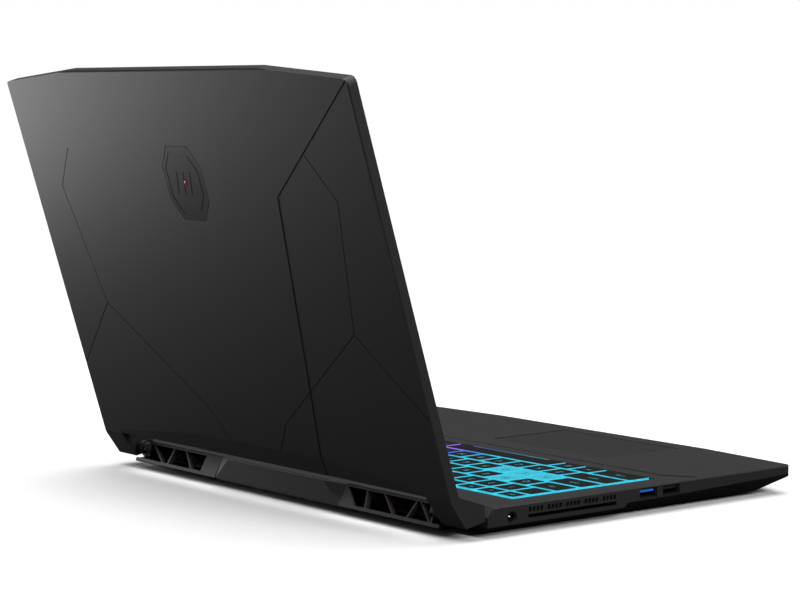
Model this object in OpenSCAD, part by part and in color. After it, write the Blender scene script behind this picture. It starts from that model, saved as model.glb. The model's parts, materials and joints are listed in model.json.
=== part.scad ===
// Gaming laptop computer with its lid open: clamshell with hinge wings, rear exhaust block, full keyboard.
// Millimetres. X is the user's right, Y runs from the front edge to the rear, Z is up from the desk.
// The lid is drawn closed and then turned about the hinge axis; everything is then centred along Y.

/* [Body] */
// Width of the computer
body_w = 359; // [358:0.5:360]
// Height of the deck above the desk
deck_z = 17.4; // [17.3:0.05:17.5]
// Thickness of the deck's skin
deck_skin = 1.5; // [1.4:0.05:1.6]
// Height of the feet, and of the bottom cover's face above the desk
foot_h = 3; // [2.9:0.05:3.1]
// Thickness of the side walls
wall = 1.8; // [1.7:0.05:1.9]

/* [Lid] */
// How far the lid stands open
lid_angle = 106.6; // [90:0.1:130]
// Height of the closed lid's outer face above the desk
lid_z = 24.9; // [24.8:0.05:25.1]
// Thickness of the lid
lid_t = 6.6; // [6.5:0.05:6.7]
// Width of the space between the two hinge wings
wing_gap_w = 316.6; // [316:0.2:317]
// Depth of the lines engraved in the lid
groove_depth = 0.35; // [0.2:0.05:0.5]
// How far the lid's side facets lie below its middle
facet_step = 0.3; // [0.1:0.05:0.5]

/* [Hinge] */
// Distance of the hinge axis from the front edge
axis_y = 256.5; // [256.3:0.05:256.7]
// Height of the hinge axis above the desk
axis_z = 13.7; // [13.6:0.05:13.8]
// Radius of the hinge pins
pin_r = 2; // [1.8:0.05:2]
// Radial play of a pin in its base knuckle
pin_play = 0.05; // [0.02:0.01:0.1]

/* [Keyboard] */
// Distance between the centres of two letter keys in a row
key_pitch = 18.3; // [18:0.1:18.3]
// Distance between two rows of keys
row_pitch = 18.9; // [18.7:0.1:18.9]
// Gap between two keycaps
key_gap = 2.9; // [2.5:0.1:3.2]
// Radius of a keycap's corners
key_corner = 1.4; // [0.8:0.1:2]

/* [Screen] */
// Width of the lit area
screen_w = 344.2; // [343:0.1:344.4]
// Height of the lit area
screen_h = 193.6; // [190:0.1:194]

/* [Cooling] */
// Radius of a fan impeller
fan_r = 31; // [28:0.5:31.5]
// Number of blades on an impeller
blades = 29; // [17:2:37]
// Distance between two fins
fin_pitch = 2; // [1.8:0.1:2.6]

/* [Hidden] */
$fn = 48;
eps = 0.01;

// Colours
shell_c = [0.09, 0.09, 0.095];
dark_c = [0.04, 0.04, 0.045];
steel_c = [0.55, 0.56, 0.58];
copper_c = [0.62, 0.25, 0.17];
board_c = [0.05, 0.16, 0.09];
glow_c = [0.15, 0.8, 0.9];

// Overall outline
half_w = body_w / 2;
front_straight = 100;
corner_y = 6.4;
corner_r = 4;
rear_y = 244.8;
rear_top_y = 240.4;
rear_knee_z = 12;
block_half_w = 157.2;
block_wall = 1.2;
block_top_y = 254.8;
block_low_y = 261.5;
block_low_z = 5.4;
grille_x0 = 64.6;
edge_chamfer = 0.8;

// Heights inside the base
floor_in_z = foot_h + 1.4;
deck_in_z = deck_z - deck_skin;
board_z = 9;
board_t = 1.2;
pipe_z = 5.6;
pipe_t = 1.6;
parts_top_z = 11.2;

// The seam between deck cover and bottom cover, as [distance from the front, height]
seam = [[0, 12.4], [106, 9.6], [140, 9.2], [144, 6.6], [rear_y, 6.6]];

// Lid
lid_in_z = lid_z - lid_t;
lid_skin = 1.6;
lid_chamfer = 1;
lid_end_y = 242.8;
wing_x = wing_gap_w / 2;
wing_wall = 1.5;
wing_profile = [[242.3, lid_z], [261.2, 18.7], [262.5, 4.7], [253.6, 3], [lid_end_y, lid_in_z]];
wing_cavity = [[238, 19.2], [244.2, 19.2], [254.4, 4.7], [261, 5.9], [260, 17.5], [242, 23.3], [238, 23.3]];
crease = [[90, 73.4], [73, 187], [66, 232]];
fold_slope = 0.1;
lid_back_y = axis_y - (axis_y - lid_chamfer) * cos(lid_angle) + (lid_z - axis_z) * sin(lid_angle);
y_mid = lid_back_y / 2;

// Keyboard: key widths in units of key_pitch, from left to right, for each row from the front
row_bottom = [2, 1, 1, 5.5, 1, 1, 1, 1, 1];
row_lower = [2.25, 1, 1, 1, 1, 1, 1, 1, 1, 1, 1, 1.25, 1];
row_home = [1.75, 1, 1, 1, 1, 1, 1, 1, 1, 1, 1, 1, 1.75];
row_upper = [1.5, 1, 1, 1, 1, 1, 1, 1, 1, 1, 1, 1, 1, 1];
row_number = [1, 1, 1, 1, 1, 1, 1, 1, 1, 1, 1, 1, 1, 1.5];
main_units = 14.5;
row_function = [for (i = [0:14]) main_units / 15];
rows = [row_bottom, row_lower, row_home, row_upper, row_number, row_function];
keys_x0 = -161.5;
keys_y0 = 103.6;
function_row_d = 13.5;
pad_x0 = keys_x0 + main_units * key_pitch;
pad_pitch = (-keys_x0 - pad_x0) / 4;
keys_y1 = keys_y0 + 5 * row_pitch + function_row_d;
key_top_z = deck_z + 0.2;
key_h = 2.3;
post_w = 4;
post_low_z = 13;
plate_z = 12.6;
plate_t = 1;
keys_margin = 1;

// Touchpad opening
pad_min = [-89.5, 12.5];
pad_max = [18.5, 74.5];
pad_play = 0.5;

// Left side ports and vents, measured along the side
vent_y0 = 149.5;
vent_y1 = 215.5;
port_face_x = half_w - 0.9;
power_y = 227.3;
power_z = 10.6;
usb_left_y = [124.5, 106.5];
usb_right_y = 112;
usb_c_y = 98.5;
video_y = 128.5;
network_y = 228;
audio_y = 80;
port_z = 13;
audio_r = 1.8;

// Fans, fins and screws
fan_x = 115;
fan_y = 194;
fan_case = [78, 156, 164, 233];
rear_fins = [76, 238.5, 146, 252];
side_fins = [165, 153, 176.5, 213];
screw_points = [[167, 34], [167, 89], [167, 142], [160.5, 237], [50, 237], [100, 97]];
centre_screw = [0, 97];
boss_r = 2.6;
screw_r = 1.1;

// ---- helpers ----------------------------------------------------------------------------------

function arc(cx, cy, r, a0, a1, n) =
    [for (i = [0:n]) [cx + r * cos(a0 + (a1 - a0) * i / n), cy + r * sin(a0 + (a1 - a0) * i / n)]];

function rounded(w, d, r) = concat(
    arc(w / 2 - r, d / 2 - r, r, 0, 90, 3), arc(r - w / 2, d / 2 - r, r, 90, 180, 3),
    arc(r - w / 2, r - d / 2, r, 180, 270, 3), arc(w / 2 - r, r - d / 2, r, 270, 360, 3));

function flip_x(pts) = [for (i = [len(pts) - 1:-1:0]) [-pts[i][0], pts[i][1]]];

// Sum of the first n values of a list
function sum_to(v, n) = n <= 0 ? 0 : v[n - 1] + sum_to(v, n - 1);

// Plan outline shared by base and lid: straight front, slanted front corners, straight sides
function plan(inset, y_end) =
    let (hw = half_w - inset,
        slant = atan2(corner_y, half_w - front_straight),
        cx = hw - corner_r,
        cy = inset + (corner_r + sin(slant) * (cx - front_straight)) / cos(slant),
        right = concat([[front_straight, inset]], arc(cx, cy, corner_r, slant - 90, 0, 5), [[hw, y_end]]))
    concat(right, flip_x(right));

// Both long sides of a line of width w, with mitred corners
function unit(v) = v / norm(v);
function side_normal(a, b) = let (u = unit(b - a)) [-u[1], u[0]];
function mitre(pts, i) =
    let (n0 = side_normal(pts[max(i - 1, 0)], pts[max(i, 1)]),
        n1 = side_normal(pts[min(i, len(pts) - 2)], pts[min(i + 1, len(pts) - 1)]),
        m = unit(n0 + n1))
    m / (m * n1);
function strip(pts, w) = concat(
    [for (i = [0:len(pts) - 1]) pts[i] + mitre(pts, i) * w / 2],
    [for (i = [len(pts) - 1:-1:0]) pts[i] - mitre(pts, i) * w / 2]);

module base_pose() {
    translate([0, -y_mid, 0]) children();
}

module lid_pose() {
    translate([0, axis_y - y_mid, axis_z]) rotate([-lid_angle, 0, 0]) translate([0, -axis_y, -axis_z])
        children();
}

// A box between two corners
module box(a, b) {
    translate(a) cube(b - a);
}

// Extrudes a [y, z] outline from x0 to x1
module along_x(x0, x1) {
    translate([x0, 0, 0]) rotate([90, 0, 90]) linear_extrude(x1 - x0) children();
}

// Extrudes an [x, z] outline from y0 to y1
module along_y(y0, y1) {
    translate([0, y1, 0]) rotate([90, 0, 0]) linear_extrude(y1 - y0) children();
}

// A cylinder along X, centred on the hinge axis
module on_axis(x0, x1, r) {
    translate([x0, axis_y, axis_z]) rotate([0, 90, 0]) cylinder(h = x1 - x0, r = r);
}

module both_sides() {
    children();
    mirror([1, 0, 0]) children();
}

// side is 1 for the user's right and -1 for the left
module on_side(side) {
    if (side > 0) children();
    else mirror([1, 0, 0]) children();
}

// ---- lid --------------------------------------------------------------------------------------

module lid_blank() {
    intersection() {
        along_x(-half_w, half_w) polygon(concat(
            [[0, lid_in_z], [0, lid_z - lid_chamfer], [lid_chamfer, lid_z]], wing_profile));
        linear_extrude(lid_z) polygon(plan(0, 270));
        along_y(0, 270) polygon([[-half_w, 0], [half_w, 0], [half_w, lid_z - lid_chamfer],
            [half_w - lid_chamfer, lid_z], [lid_chamfer - half_w, lid_z], [-half_w, lid_z - lid_chamfer]]);
    }
}

// Removes the strip behind the fold line at the lid's lower edge
module fold_cut() {
    fold_y0 = crease[2][1];
    fold_x0 = crease[2][0];
    fold_y1 = 240.4;
    cut_y = 244;
    top = lid_z + 2;
    side_z = lid_z - facet_step;
    along_x(-fold_x0, fold_x0) polygon([[fold_y0, lid_z], [cut_y, lid_z - fold_slope * (cut_y - fold_y0)],
        [cut_y, top], [fold_y0, top]]);
    both_sides() polyhedron(
        points = [[fold_x0, fold_y0, side_z], [wing_x, fold_y1, side_z],
            [wing_x, cut_y, side_z - fold_slope * (cut_y - fold_y1)],
            [fold_x0, cut_y, side_z - fold_slope * (cut_y - fold_y0)],
            [fold_x0, fold_y0, top], [wing_x, fold_y1, top], [wing_x, cut_y, top], [fold_x0, cut_y, top]],
        faces = [[0, 1, 2, 3], [7, 6, 5, 4], [4, 5, 1, 0], [5, 6, 2, 1], [6, 7, 3, 2], [7, 4, 0, 3]]);
}

// The lines engraved in the right half of the lid, the last one along the crease
module lid_grooves() {
    line_w = 0.55;
    crease_line_w = 0.35;
    start = [125.1, 48.8];
    elbow = [145.1, 74];
    fork = [129.5, 150.8];
    cross = [72.4, 190.4];
    knee = [39.3, 213.4];
    side_z = lid_z - facet_step;
    translate([0, 0, side_z - groove_depth]) linear_extrude(2) {
        polygon(strip([start, elbow, fork, cross], line_w));
        polygon(strip([fork, [half_w + 1, 197.3]], line_w));
        polygon(strip(concat([[half_w + 2.4, 4.6]], crease), crease_line_w));
    }
    translate([0, 0, lid_z - groove_depth]) linear_extrude(2)
        polygon(strip([cross, knee, [26.3, 231.8]], line_w));
}

badge_centre = [0, 68];
badge_size = [20.5, 22.5];
badge_depth = 0.4;
badge_outline = [[0.55, -1], [1, -0.45], [1, 0.45], [0.55, 1], [-0.55, 1], [-1, 0.45], [-1, -0.45], [-0.55, -1]];

module badge_shape(k) {
    translate(badge_centre) polygon([for (p = badge_outline) [p[0] * badge_size[0] * k, p[1] * badge_size[1] * k]]);
}

module lid_cover() {
    color(shell_c) lid_pose() difference() {
        lid_blank();
        box([-wing_x, lid_end_y, 0], [wing_x, 270, 30]);
        translate([0, 0, lid_in_z - 5]) linear_extrude(5 + lid_t - lid_skin)
            polygon(plan(wall, lid_end_y - lid_skin));
        both_sides() {
            along_x(wing_x + wing_wall, half_w - wall) polygon(wing_cavity);
            on_axis(wing_x - 1, wing_x + wing_wall + 1, pin_r + 0.6);
            translate([0, 0, lid_z - facet_step]) linear_extrude(3)
                polygon(concat([[half_w + 2.4, 4.6]], crease, [[66, 270], [half_w + 2.4, 270]]));
            lid_grooves();
        }
        fold_cut();
        translate([0, 0, lid_z - badge_depth]) linear_extrude(2) badge_shape(1);
    }
}

// A plain octagonal inlay with a sunk ring and three slanted bars
module lid_badge() {
    color(dark_c) lid_pose() difference() {
        translate([0, 0, lid_z - badge_depth]) linear_extrude(badge_depth - 0.05) badge_shape(0.985);
        translate([0, 0, lid_z - 0.2]) linear_extrude(1) difference() {
            badge_shape(0.86);
            badge_shape(0.74);
        }
        translate([0, 0, lid_z - 0.2]) linear_extrude(1)
            for (i = [-1:1]) translate(badge_centre + [i * 7, 0])
                polygon([[-3.4, -7], [0.2, -7], [3.4, 7], [-0.2, 7]]);
    }
}

screen_y0 = 8.5;
screen_y1 = screen_y0 + screen_h;
bezel_t = 1;
camera_y = 4.6;
camera_hole_r = 1.6;

module display_bezel() {
    color(dark_c) lid_pose() difference() {
        translate([0, 0, lid_in_z]) linear_extrude(bezel_t) polygon(plan(wall + 0.1, lid_end_y - lid_skin - 0.2));
        box([-screen_w / 2, screen_y0, 0], [screen_w / 2, screen_y1, 30]);
        translate([0, camera_y, lid_in_z - 1]) cylinder(h = 3, r = camera_hole_r);
    }
}

module display_panel() {
    z0 = lid_in_z + bezel_t;
    color([0.02, 0.02, 0.03]) lid_pose() {
        intersection() {
            box([-174.5, 7, z0], [174.5, 204.8, z0 + 1.8]);
            linear_extrude(lid_z) polygon(plan(wall + 0.15, 230));
        }
        box([-150, 188, z0 + 1.8], [150, 204.8, z0 + 3]);
    }
}

module camera_module() {
    z0 = lid_in_z + bezel_t;
    color(board_c) lid_pose() difference() {
        union() {
            box([-24, 2.3, z0 + 0.4], [24, 6.6, z0 + 1.2]);
            box([-3, 2.3, z0], [3, 6.6, z0 + 2.6]);
        }
        translate([0, camera_y, z0 - 1]) cylinder(h = 1.4, r = 1);
    }
}

module camera_window() {
    color([0.01, 0.01, 0.02]) lid_pose() translate([0, camera_y, lid_in_z + 0.1])
        cylinder(h = 0.8, r = camera_hole_r - 0.05);
}

module bezel_bumpers() {
    bump_h = 0.55;
    color(dark_c) lid_pose() both_sides() {
        translate([0, 0, lid_in_z - bump_h]) linear_extrude(bump_h) {
            translate([170, 14]) polygon(rounded(6, 12, 1.5));
            translate([60, 4.6]) polygon(rounded(16, 3, 1));
            translate([150, 236]) polygon(rounded(16, 4, 1));
        }
    }
}

module antennas() {
    z0 = lid_in_z + bezel_t + 0.2;
    color(copper_c) lid_pose() both_sides() {
        box([70, 3.6, z0], [112, 6.6, z0 + 0.5]);
        box([112, 3.6, z0], [116, 6.6, z0 + 1.4]);
    }
}

module display_cable() {
    z0 = lid_in_z + bezel_t + 0.3;
    color(dark_c) lid_pose() {
        box([-66, 205, z0], [-54, 226, z0 + 0.8]);
        box([-160, 226, z0], [-54, 232, z0 + 0.8]);
        box([-160, 232, z0], [-150, 240, z0 + 0.8]);
    }
}

// ---- hinges -----------------------------------------------------------------------------------

// The lid's half of a hinge: a hub pressed on the pin, a web in the wing and a plate under the lid's skin
module hinge_arm(side) {
    color(steel_c) lid_pose() on_side(side) difference() {
        union() {
            on_axis(161, 167, 3.5);
            along_x(161, 167) polygon([[254, 15.2], [245.2, 19.6], [240, 21.3], [240, 23.1], [243, 22.8],
                [258.2, 17.4]]);
            box([161, 206, 21.4], [175.5, 241, 23.1]);
        }
        on_axis(160, 168, pin_r);
        for (y = [212, 226]) translate([171, y, 20]) cylinder(h = 4, r = 1.1);
    }
}

// A pin with its lock nut and friction washers
module hinge_pin(side) {
    color(steel_c) lid_pose() on_side(side) {
        on_axis(147, 172, pin_r);
        difference() {
            union() {
                translate([147.6, axis_y, axis_z]) rotate([0, 90, 0]) cylinder(h = 1.6, r = 3.5, $fn = 6);
                on_axis(149.3, 149.9, 3.3);
                on_axis(150.1, 150.7, 3.3);
            }
            on_axis(147, 151, pin_r - eps);
        }
    }
}

knuckle_x0 = 151;
knuckle_x1 = 155.5;
knuckle_r = 4.2;

// The base's half of a hinge: a knuckle with a running bore and a plate under the deck
module hinge_bracket(side) {
    top = deck_in_z - 0.1;
    color(steel_c) base_pose() on_side(side) difference() {
        union() {
            on_axis(knuckle_x0, knuckle_x1, knuckle_r);
            along_x(knuckle_x0, knuckle_x1) polygon([[234, top - 1.5], [246, 11.4], [256, 9.6],
                [256, 17.4], [251, top], [234, top]]);
            box([132, 222, top - 1.5], [knuckle_x1, 246, top]);
        }
        on_axis(knuckle_x0 - 1, knuckle_x1 + 1, pin_r + pin_play);
        for (p = [[137, 228], [137, 240], [148, 228]]) translate([p[0], p[1], 10]) cylinder(h = 8, r = 1.2);
    }
}

// ---- base covers ------------------------------------------------------------------------------

// A closed loft through cross-sections [y, seam height, bottom height, bottom half width]
module loft(stations, seam_half_w) {
    n = len(stations);
    pts = [for (s = stations) each [[-seam_half_w, s[0], s[1]], [-s[3], s[0], s[2]], [s[3], s[0], s[2]],
        [seam_half_w, s[0], s[1]]]];
    sides = [for (i = [0:n - 2]) for (j = [0:3])
        let (a = 4 * i + j, b = 4 * i + (j + 1) % 4, c = b + 4, d = a + 4)
        each [[c, d, a], [b, c, a]]];
    polyhedron(points = pts, faces = concat([[3, 2, 1, 0]], sides, [[4 * n - 4, 4 * n - 3, 4 * n - 2, 4 * n - 1]]));
}

function seam_at(y) = lookup(y, seam);
flat_y = 28;
low_half_w = 171;

module bosses(z0, z1, r) {
    both_sides() for (p = screw_points) translate([p[0], p[1], z0]) cylinder(h = z1 - z0, r = r);
    translate([centre_screw[0], centre_screw[1], z0]) cylinder(h = z1 - z0, r = r);
}

// Cut-outs in the right side wall, mirrored for the left
module side_cut(y, z, w, h, side) {
    on_side(side) box([half_w - 4, y - w / 2, z - h / 2], [half_w + 1, y + w / 2, z + h / 2]);
}

module side_vents() {
    groups = 5;
    slots = 4;
    group_pitch = (vent_y1 - vent_y0 + 2.6) / groups;
    slot_pitch = (group_pitch - 2.6) / slots;
    both_sides() {
        for (g = [0:groups - 1]) for (s = [0:slots - 1])
            translate([0, vent_y0 + g * group_pitch + s * slot_pitch, 12.3])
                along_x(half_w - 4, half_w + 1) polygon([[0.8, 0], [2.75, 0], [1.95, 2.6], [0, 2.6]]);
        box([half_w - 4, vent_y0, 8.9], [half_w + 1, vent_y1, 11]);
    }
}

module deck_cover() {
    color(shell_c) base_pose() difference() {
        union() {
            difference() {
                intersection() {
                    linear_extrude(deck_z) polygon(plan(0, rear_y));
                    along_x(-half_w, half_w) polygon(concat(seam, [[rear_y, rear_knee_z],
                        [rear_top_y, deck_z], [0, deck_z]]));
                    along_y(-1, rear_y) polygon([[-half_w, 0], [half_w, 0], [half_w, deck_z - edge_chamfer],
                        [half_w - edge_chamfer, deck_z], [edge_chamfer - half_w, deck_z],
                        [-half_w, deck_z - edge_chamfer]]);
                }
                intersection() {
                    linear_extrude(deck_in_z) polygon(plan(wall, rear_y - 1.5));
                    along_x(-half_w, half_w) polygon([[0, 0], [rear_y, 0], [rear_y, rear_knee_z - 0.8],
                        [rear_top_y - 0.8, deck_in_z], [0, deck_in_z]]);
                }
            }
            bosses(floor_in_z + 0.8, deck_in_z + 0.2, boss_r);
            box([-block_half_w, 236, deck_in_z], [block_half_w, block_top_y - 1.9, deck_z]);
            box([-grille_x0 + 0.2, 250, deck_in_z], [grille_x0 - 0.2, block_top_y - 0.2, deck_z]);
            both_sides() box([block_half_w - block_wall, 240, seam_at(240)], [block_half_w, 251, deck_z]);
        }
        box([block_wall - block_half_w, 239.5, 0], [block_half_w - block_wall, 250, deck_in_z]);
        // Notches that the hinge knuckles reach through
        both_sides() box([knuckle_x0 - 0.6, 251, 0], [block_half_w + 1, 260, deck_z + 1]);
        box([keys_x0 - keys_margin, keys_y0 - keys_margin, 10], [-keys_x0 + keys_margin, keys_y1 + keys_margin, 20]);
        // The keyboard lies in a shallow hollow
        translate([0, 0, deck_z - 0.5]) linear_extrude(2)
            polygon([[-176, 81], [-156, 92], [156, 92], [176, 81], [176, 232], [-176, 232]]);
        box([pad_min[0], pad_min[1], 10], [pad_max[0], pad_max[1], 20]);
        bosses(floor_in_z, 10.5, screw_r);
        side_vents();
        for (y = usb_left_y) side_cut(y, port_z, 13.6, 6, -1);
        on_side(-1) translate([half_w - 4, power_y, power_z]) rotate([0, 90, 0]) cylinder(h = 6, r = 3.4);
        side_cut(usb_right_y, port_z, 13.6, 6, 1);
        side_cut(usb_c_y, port_z, 9.4, 3.7, 1);
        side_cut(video_y, port_z, 15.4, 6, 1);
        side_cut(network_y, 11.6, 16.4, 8.6, 1);
        translate([half_w - 4, audio_y, port_z]) rotate([0, 90, 0]) cylinder(h = 6, r = 2.8);
    }
}

// Slanted intake slots under one fan
module intake_slots() {
    for (row = [-1:1]) for (i = [-5:5])
        translate([fan_x + i * 5.4, fan_y + row * 17, 0]) rotate([0, 0, row == 0 ? 20 : -20])
            box([-1.3, -6.5, 0], [1.3, 6.5, 6]);
}

module bottom_cover() {
    tail_y = 259;
    tail_z = 4.4;
    color(dark_c) base_pose() difference() {
        union() {
            difference() {
                intersection() {
                    loft(concat([[0, 12.4, 12.2, 179]],
                        [for (y = [flat_y, 106, 140, 144, rear_y]) [y, seam_at(y), foot_h, low_half_w]]), half_w);
                    linear_extrude(deck_z) polygon(plan(0, rear_y));
                }
                loft(concat([[5, 13.1, 12, 174]], [for (y = [flat_y + 1.5, 106, 140, 144, rear_y - 1.5])
                    [y, seam_at(y) + 0.6, floor_in_z, low_half_w - 2.2]]), half_w - 1.3);
            }
            along_x(-block_half_w, block_half_w) polygon([[240, foot_h], [tail_y, tail_z],
                [tail_y, tail_z + 1.5], [240, floor_in_z]]);
            both_sides() along_x(block_half_w - block_wall, block_half_w) polygon([[240, foot_h],
                [tail_y, tail_z], [tail_y, seam_at(240)], [240, seam_at(240)]]);
        }
        box([block_wall - block_half_w, 239.5, floor_in_z + 0.4], [block_half_w - block_wall, 246, 8]);
        bosses(0, 8, screw_r + 0.2);
        bosses(0, foot_h + 0.6, boss_r);
        both_sides() intake_slots();
        for (i = [-7:7]) translate([i * 7, 128, 0]) rotate([0, 0, 20]) box([-1.3, -10, 0], [1.3, 10, 6]);
    }
}

// ---- rear exhaust block -----------------------------------------------------------------------

block_lean = atan2(block_low_y - block_top_y, deck_z - block_low_z);
block_len = norm([block_low_y - block_top_y, deck_z - block_low_z]);

// Places a shape drawn in the XZ plane, hanging down from z = 0, on the block's leaning face
module on_lean() {
    translate([0, block_top_y, deck_z]) rotate([block_lean, 0, 0]) children();
}

module exhaust_grille(side) {
    top_rail = 1.2;
    low_rail = 2;
    frame_x1 = 150.4;
    // Top and bottom ends of the slanted ribs, which differ from one side to the other
    left_ribs = [[85, 89], [101, 115], [131, 127.5], [134, 148]];
    right_ribs = [[106, 93], [119.3, 120.5], [144.6, 126]];
    ribs = side < 0 ? left_ribs : right_ribs;
    // Inner edge of the opening, top and bottom
    inner = side < 0 ? [66.5, 79.5] : [82, 82];
    rib_w = 1.5;
    low = -block_len;
    color(dark_c) base_pose() on_side(side) union() {
        difference() {
            on_lean() along_y(-1.6, 0) difference() {
                polygon([[grille_x0, 0], [frame_x1 - 2, 0], [frame_x1, low], [grille_x0, low]]);
                polygon([[inner[0], -top_rail], [frame_x1 - 4, -top_rail], [frame_x1 - 1.6, low + low_rail],
                    [inner[1], low + low_rail]]);
            }
            // Room for the hinge's lock nut and washers
            on_axis(146.5, 151, 4);
        }
        difference() {
            on_lean() along_y(-3.4, -0.2) for (r = ribs)
                polygon([[r[0] - rib_w / 2, -top_rail + 0.2], [r[1] - rib_w / 2, low + low_rail - 0.2],
                    [r[1] + rib_w / 2, low + low_rail - 0.2], [r[0] + rib_w / 2, -top_rail + 0.2]]);
            box([grille_x0, 250, 0], [frame_x1, 259.05, 6.05]);
        }
        // The lip that runs on below the hinge
        along_x(grille_x0, block_half_w) polygon([[259.1, 4.5], [260.6, 4.6], [block_low_y, block_low_z],
            [260.5, 7.2], [259.1, 6.6]]);
    }
}

// Smooth bar between the two grilles, with a slanted facet at each end
module rear_center_bar() {
    top_z = 18.4;
    shelf_z = 17.2;
    face_y = 261;
    top_x = 50;
    low_x = 64.4;
    color(shell_c) base_pose() union() {
        along_y(259.1, face_y) polygon([[-low_x, block_low_z], [low_x, block_low_z], [top_x, top_z], [-top_x, top_z]]);
        box([-top_x, block_top_y - 0.1, shelf_z - 1.3], [top_x, 259.2, shelf_z]);
        box([-low_x, 259.1, 4.5], [low_x, 260.4, block_low_z + 0.5]);
        both_sides() polyhedron(
            points = [[top_x, face_y, top_z], [low_x, face_y, block_low_z], [low_x, block_top_y, deck_z],
                [top_x - 1, block_top_y, deck_z]],
            faces = [[0, 1, 2], [0, 2, 3], [0, 3, 1], [1, 3, 2]]);
    }
}

// ---- keyboard ---------------------------------------------------------------------------------

function row_y(r) = r < 5 ? keys_y0 + (r + 0.5) * row_pitch : keys_y0 + 5 * row_pitch + function_row_d / 2;
function row_d(r) = (r < 5 ? row_pitch : function_row_d) - key_gap;
function key_x(r, i) = keys_x0 + key_pitch * (sum_to(rows[r], i) + rows[r][i] / 2);
function key_w(r, i) = rows[r][i] * key_pitch - key_gap;
function pad_x(i) = pad_x0 + (i + 0.5) * pad_pitch;

// Every key is [x, y, width, depth]
function main_key(r, i) = [key_x(r, i), row_y(r), key_w(r, i), row_d(r)];
function pad_key(r, i) = [pad_x(i), row_y(r), pad_pitch - key_gap, row_d(r)];
function tall_pad_key(r) = [pad_x(3), row_y(r) + row_pitch / 2, pad_pitch - key_gap, row_d(r) + row_pitch];
function pick(r, list) = [for (i = list) main_key(r, i)];
function others(r, list) = [for (i = [0:len(rows[r]) - 1]) if (len(search(i, list)) == 0) main_key(r, i)];

function_keys = concat(others(5, [0]), [for (i = [0:2]) pad_key(5, i)]);
number_keys = others(4, []);
upper_keys = others(3, [2]);
home_keys = others(2, [1, 2, 3, 12]);
lower_keys = others(1, [12]);
bottom_keys = others(0, [3, 7, 8]);
arrow_keys = concat(pick(0, [7, 8]), pick(1, [12]), [pad_key(0, 0)]);
number_pad_keys = concat([for (i = [0:3]) pad_key(4, i)], [for (i = [0:2]) pad_key(3, i)],
    [for (i = [0:2]) pad_key(2, i)], [for (i = [0:2]) pad_key(1, i)], [for (i = [1:2]) pad_key(0, i)],
    [tall_pad_key(2), tall_pad_key(0)]);
power_keys = [pad_key(5, 3)];
single_keys = concat(pick(5, [0]), pick(3, [2]), pick(2, [1, 2, 3, 12]), pick(0, [3]));
all_keys = concat(function_keys, number_keys, upper_keys, home_keys, lower_keys, bottom_keys, arrow_keys,
    number_pad_keys, power_keys, single_keys);

module keys(list, c) {
    color(c) base_pose() for (k = list) translate([k[0], k[1], 0]) {
        translate([0, 0, key_top_z - key_h]) linear_extrude(key_h) polygon(rounded(k[2], k[3], key_corner));
        box([-post_w / 2, -post_w / 2, post_low_z], [post_w / 2, post_w / 2, key_top_z - key_h + 0.1]);
    }
}

module keyboard_plate() {
    x1 = -keys_x0 + keys_margin + 1.4;
    y0 = keys_y0 - keys_margin - 1.4;
    y1 = keys_y1 + keys_margin + 1.4;
    rim = 1.2;
    hole_w = post_w + 1;
    color(glow_c) base_pose() difference() {
        box([-x1, y0, plate_z], [x1, y1, deck_in_z]);
        box([rim - x1, y0 + rim, plate_z + plate_t], [x1 - rim, y1 - rim, 20]);
        for (k = all_keys) box([k[0] - hole_w / 2, k[1] - hole_w / 2, 10], [k[0] + hole_w / 2, k[1] + hole_w / 2, 15]);
    }
}

module touchpad() {
    color([0.1, 0.1, 0.105]) base_pose()
        box([pad_min[0] + pad_play, pad_min[1] + pad_play, deck_z - 2.3],
            [pad_max[0] - pad_play, pad_max[1] - pad_play, deck_z - 0.25]);
}

// ---- inside the base --------------------------------------------------------------------------

module motherboard() {
    color(board_c) base_pose() difference() {
        union() {
            box([-75, 102, board_z], [75, 234, board_z + board_t]);
            box([-176, 101, board_z], [176, 138, board_z + board_t]);
            both_sides() box([20, 155, board_z - 1.2], [40, 180, board_z]);
            both_sides() for (y = [196, 208, 220]) box([44, y, board_z - 2.4], [54, y + 8, board_z]);
        }
        for (x = [-100, 0, 100]) translate([x, 97, 5]) cylinder(h = 9, r = boss_r + 0.8);
    }
}

module cold_plates() {
    color(copper_c) base_pose() both_sides() box([12, 144, pipe_z + pipe_t], [48, 190, board_z - 1.2]);
}

module heat_pipes() {
    z1 = pipe_z + pipe_t;
    color(copper_c) base_pose() both_sides() {
        box([10, 147, pipe_z], [171, 153, z1]);
        box([165.2, 147, pipe_z], [171, side_fins[3], z1]);
        box([22, 160, pipe_z], [29, 247, z1]);
        box([22, 240.5, pipe_z], [rear_fins[2], 247, z1]);
    }
}

module fin_stacks() {
    z0 = pipe_z + pipe_t;
    fin_t = 0.4;
    color(copper_c) base_pose() both_sides() {
        box([rear_fins[0], rear_fins[1], z0], [rear_fins[2], rear_fins[3], z0 + 0.5]);
        for (x = [rear_fins[0]:fin_pitch:rear_fins[2] - fin_t])
            box([x, rear_fins[1], z0], [x + fin_t, rear_fins[3], 14]);
        box([side_fins[0], side_fins[1], z0], [side_fins[2], side_fins[3], z0 + 0.5]);
        for (y = [side_fins[1]:fin_pitch:side_fins[3] - fin_t])
            box([side_fins[0], y, z0], [side_fins[2], y + fin_t, 14.6]);
    }
}

fan_low_z = 4.6;
fan_plate = 0.8;
spindle_r = 1.5;

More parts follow.
